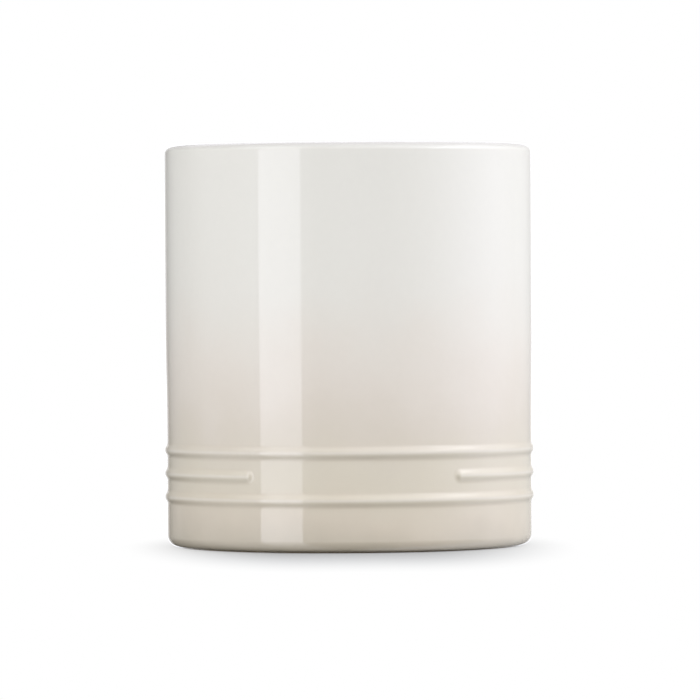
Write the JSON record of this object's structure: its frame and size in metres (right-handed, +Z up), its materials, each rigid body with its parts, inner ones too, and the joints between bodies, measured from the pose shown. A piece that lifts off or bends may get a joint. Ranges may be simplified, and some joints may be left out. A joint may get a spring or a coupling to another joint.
{
  "type": "utensil crock",
  "caption": "Straight-sided round stoneware crock for kitchen utensils, with a rounded lip, raised ribs near the foot and a glossy ombre glaze.",
  "frame": {"origin": "on the surface that the crock stands on, under the middle of its foot ring", "axes": "+Z up along the crock's axis; -Y is the front, where the middle rib is interrupted; +X is to the right seen from the front"},
  "size_m": [0.153, 0.153, 0.1655],
  "materials": {
    "bare_stoneware": "unglazed fired clay, matt and slightly gritty",
    "ombre_glaze": "glossy, off-white at the rim fading to beige at the foot",
    "liner_glaze": "glossy off-white"
  },
  "bodies": {
    "root": {"stoneware_body": "bare_stoneware", "outer_glaze": "ombre_glaze", "inner_glaze": "liner_glaze", "base_glaze": "liner_glaze"}
  },
  "joints": []
}
